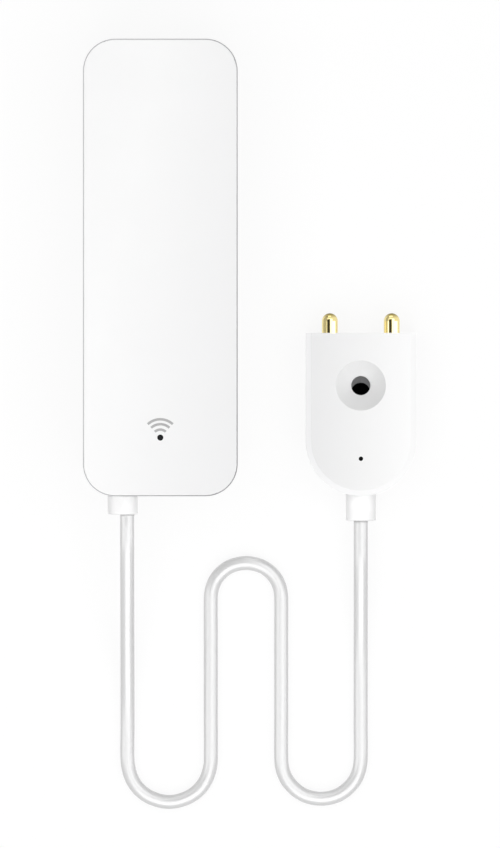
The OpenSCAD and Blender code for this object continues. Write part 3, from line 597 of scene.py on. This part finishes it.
def boardFinish(name, mask, track, look):
    # staggered fields of mask with thin tracks between them; some fields are nearer to the tracks' tone
    made, tree, shader, place = newFinish(name)
    spot = place.outputs["Object"]
    mapping = tree.nodes.new("ShaderNodeMapping")
    mapping.inputs["Scale"].default_value = look["weaveScale"]
    weave = tree.nodes.new("ShaderNodeTexBrick")
    weave.inputs["Color1"].default_value = (1, 1, 1, 1)
    weave.inputs["Color2"].default_value = (look["otherField"],) * 3 + (1,)
    weave.inputs["Mortar"].default_value = (0, 0, 0, 1)
    weave.inputs["Mortar Size"].default_value = look["trackWidth"]
    tree.links.new(spot, mapping.inputs["Vector"])
    tree.links.new(mapping.outputs["Vector"], weave.inputs["Vector"])
    tree.links.new(blendColours(tree, weave.outputs["Color"], track, mask), shader.inputs["Base Color"])
    addGloss(tree, shader, noiseOf(tree, spot, look["patch"]), look["gloss"])
    addBump(tree, shader, weave.outputs["Color"], look["depth"])
    return made


# Foam pad: closed cells; inside the screw hole its face has painted shade, darker than the foam, with
# painted light as a paler crescent at the upper side
pad = {
    "colour": (0.010, 0.010, 0.010), "cellTone": (0.020, 0.020, 0.020), "cellSize": 0.25,
    "gloss": (0.75, 0.9), "ior": 1.08, "depth": 0.03,
    # hole: painted shade at the bottom of the screw hole; lit: painted light in the crescent
    "hole": (0.001, 0.001, 0.001), "lit": (0.43, 0.43, 0.44),
    "faceDepth": 0.05,   # how deep the face's own colours go, mm
    "crescentDrop": 1.05, "crescentRadius": 1.45, "crescentSoft": 0.12,
}


def padFinish(look):
    # tone, gloss and relief follow the distance from the nearest cell's middle
    made, tree, shader, place = newFinish("pad_foam")
    spot = place.outputs["Object"]
    cells = tree.nodes.new("ShaderNodeTexVoronoi")
    cells.inputs["Scale"].default_value = 1 / (look["cellSize"] * mm)
    tree.links.new(spot, cells.inputs["Vector"])
    tone = blendColours(tree, cells.outputs["Distance"], look["colour"], look["cellTone"])
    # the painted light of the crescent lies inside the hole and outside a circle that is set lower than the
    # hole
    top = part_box("probe_pad")[1].z
    away = tree.nodes.new("ShaderNodeVectorMath")
    away.operation = "DISTANCE"
    away.inputs[1].default_value = (screwHole[0], screwHole[1] - look["crescentDrop"] * mm, top)
    tree.links.new(spot, away.inputs[0])
    edge = (look["crescentRadius"] * mm, (look["crescentRadius"] + look["crescentSoft"]) * mm)
    crescent = between(tree, away.outputs["Value"], edge, (0, 1))
    inHole = blendColours(tree, crescent, look["hole"], look["lit"])
    upper = steppedShare(tree, axisOf(tree, spot, "Z"), top - look["faceDepth"] * mm)
    tree.links.new(blendColours(tree, upper, tone, inHole), shader.inputs["Base Color"])
    shader.inputs["IOR"].default_value = look["ior"]
    rough = between(tree, cells.outputs["Distance"], (0, 1), look["gloss"])
    tree.links.new(rough, shader.inputs["Roughness"])
    addBump(tree, shader, cells.outputs["Distance"], look["depth"])
    return made


finish["cellLeft"] = cellFinish("cell_jacket_left", "battery_left", "bottom")
finish["cellRight"] = cellFinish("cell_jacket_right", "battery_right", "top")
finish["board"] = boardFinish("board_green", *board["green"], board)
finish["module"] = boardFinish("module_blue", *board["blue"], board)
finish["pad"] = padFinish(pad)

dress = {
    "front_cover": "cover", "rear_housing": "housing", "battery_door": "housing",
    "battery_left": "cellLeft", "battery_right": "cellRight",
    "negative_plate": "nickel", "positive_contact": "nickel", "bridge_strip": "nickel",
    "main_board": "board", "radio_module": "module", "radio_shield": "tin", "board_components": "chip",
    "status_led": "led", "status_lens": "lens", "tact_switch": "chip", "reset_button": "button",
    "probe_header": "header", "cable_grommet": "collar", "main_lead_wires": "wire", "case_screws": "steel",
    "probe_front_shell": "probe", "probe_back_shell": "housing", "probe_pin_left": "gold",
    "probe_pin_right": "gold", "probe_board": "board", "probe_potting": "resin", "probe_grommet": "collar",
    "probe_lead_wires": "wire", "probe_pad": "pad",
}
for node, kind in dress.items():
    nodes[node].data.materials.clear()
    nodes[node].data.materials.append(finish[kind])
print("solids dressed:", len(dress))


# Stage: white floor and room, a large panel overhead, one at the cable's end, one at the far end, strips at
# both sides, one under the floor for the back, and a dark card whose reflection draws the line down the pins
stage = {
    "reach": 8.0,      # half the floor's side, m
    "drop": 0.05,      # the floor lies this far under the object's own flat faces, mm
    "glow": 0.52,      # light that the floor sends to the object
    "white": 0.84,     # what is seen of the floor in full shadow
    "shadow": 0.145,   # how strongly the lamps' light, and so the object's shadow, shows on top of that
    "room": 0.20,      # light that the room sends to the object
}
panels = {   # places and sizes in metres
    "key_panel": {"at": (0.05, 0.06, 0.60), "aim": (0.05, 0.06, 0.0), "size": (1.00, 0.80), "watts": 3.50},
    "low_panel": {"at": (0.06, -0.45, 0.48), "aim": (0.02, -0.05, 0.0), "size": (0.90, 0.34), "watts": 1.85},
    "left_panel": {"at": (-0.75, -0.02, 0.36), "aim": (0.0, -0.02, 0.0), "size": (0.30, 0.8), "watts": 1.0},
    "back_panel": {"at": (-0.10, 0.80, 0.20), "aim": (0.0, 0.0, 0.0), "size": (0.60, 0.40), "watts": 0.8},
    "right_panel": {"at": (0.80, -0.02, 0.36), "aim": (0.0, -0.02, 0.0), "size": (0.14, 0.8), "watts": 0.7},
    "under_panel": {"at": (0.01, -0.03, -0.70), "aim": (0.01, -0.03, 0.0), "size": (0.4, 0.4), "watts": 2.9},
}
card = {"x": (-0.44, 0.06), "y": (-0.04, 0.32), "z": 0.55, "tone": 0.01}


def seenBy(tree):
    # first value: 1 for rays that look at a surface, from the camera or by way of a mirror or glass, else 0;
    # second value: 1 for rays that ask whether a lamp is in sight, else 0
    light = tree.nodes.new("ShaderNodeLightPath")
    seen = light.outputs["Is Camera Ray"]
    for kind in ("Is Glossy Ray", "Is Transmission Ray"):
        seen = combined(tree, "MAXIMUM", seen, light.outputs[kind])
    return seen, light.outputs["Is Shadow Ray"]


def flatSquare(name, x, y, z):
    # square of four corners, facing up
    mesh = bpy.data.meshes.new(name)
    corners = [(x[0], y[0], z), (x[1], y[0], z), (x[1], y[1], z), (x[0], y[1], z)]
    mesh.from_pydata(corners, [], [(0, 1, 2, 3)])
    square = bpy.data.objects.new(name, mesh)
    bpy.context.scene.collection.objects.link(square)
    return square


def makeFloor(look):
    # flat square; seen directly it is white with a faint shadow, and it lights the object like a white table
    reach = (-look["reach"], look["reach"])
    floor = flatSquare("floor", reach, reach, -look["drop"] * mm)
    paint = bpy.data.materials.new("floor_white")
    paint.use_nodes = True
    paint.cycles.emission_sampling = "NONE"
    tree = paint.node_tree
    tree.nodes.clear()
    output = tree.nodes.new("ShaderNodeOutputMaterial")
    seen, shadow = seenBy(tree)
    white = tree.nodes.new("ShaderNodeEmission")
    white.inputs["Strength"].default_value = look["white"]
    matt = tree.nodes.new("ShaderNodeBsdfDiffuse")
    matt.inputs["Color"].default_value = (look["shadow"],) * 3 + (1,)
    shown = tree.nodes.new("ShaderNodeAddShader")
    table = tree.nodes.new("ShaderNodeEmission")
    table.inputs["Strength"].default_value = look["glow"]
    pick = tree.nodes.new("ShaderNodeMixShader")
    clear = tree.nodes.new("ShaderNodeBsdfTransparent")
    below = tree.nodes.new("ShaderNodeNewGeometry").outputs["Backfacing"]
    passing = combined(tree, "MAXIMUM", below, shadow)   # looks from below and lamp light go through
    side = tree.nodes.new("ShaderNodeMixShader")
    tree.links.new(white.outputs[0], shown.inputs[0])
    tree.links.new(matt.outputs[0], shown.inputs[1])
    tree.links.new(seen, pick.inputs["Fac"])
    tree.links.new(table.outputs[0], pick.inputs[1])
    tree.links.new(shown.outputs[0], pick.inputs[2])
    tree.links.new(passing, side.inputs["Fac"])
    tree.links.new(pick.outputs[0], side.inputs[1])
    tree.links.new(clear.outputs[0], side.inputs[2])
    tree.links.new(side.outputs[0], output.inputs["Surface"])
    floor.data.materials.append(paint)


def makeCard(look):
    # flat square that only mirrors see
    square = flatSquare("dark_card", look["x"], look["y"], look["z"])
    paint = bpy.data.materials.new("card_black")
    paint.use_nodes = True
    paint.node_tree.nodes["Principled BSDF"].inputs["Base Color"].default_value = (look["tone"],) * 3 + (1,)
    square.data.materials.append(paint)
    square.visible_camera = square.visible_diffuse = square.visible_shadow = False


def makePanel(name, look):
    # flat lamp turned so that its front looks at its aim
    data = bpy.data.lights.new(name, "AREA")
    data.shape = "RECTANGLE"
    data.size, data.size_y = look["size"]
    data.energy = look["watts"]
    lamp = bpy.data.objects.new(name, data)
    at, aim = Vector(look["at"]), Vector(look["aim"])
    lamp.location = at
    lamp.rotation_mode = "QUATERNION"
    lamp.rotation_quaternion = (aim - at).to_track_quat("-Z", "Y")
    lamp.visible_camera = False
    bpy.context.scene.collection.objects.link(lamp)


def makeRoom(look):
    # white to look at, dim as a light: the strength goes from the room's own to 1 for rays that look
    world = bpy.data.worlds.new("room")
    world.use_nodes = True
    tree = world.node_tree
    tree.nodes["Background"].inputs["Color"].default_value = (1, 1, 1, 1)
    strength = between(tree, seenBy(tree)[0], (0, 1), (look["room"], 1))
    tree.links.new(strength, tree.nodes["Background"].inputs["Strength"])
    bpy.context.scene.world = world


makeFloor(stage)
makeCard(card)
makeRoom(stage)
for name, look in panels.items():
    makePanel(name, look)
bpy.context.scene.view_settings.view_transform = "Standard"
print("stage set")
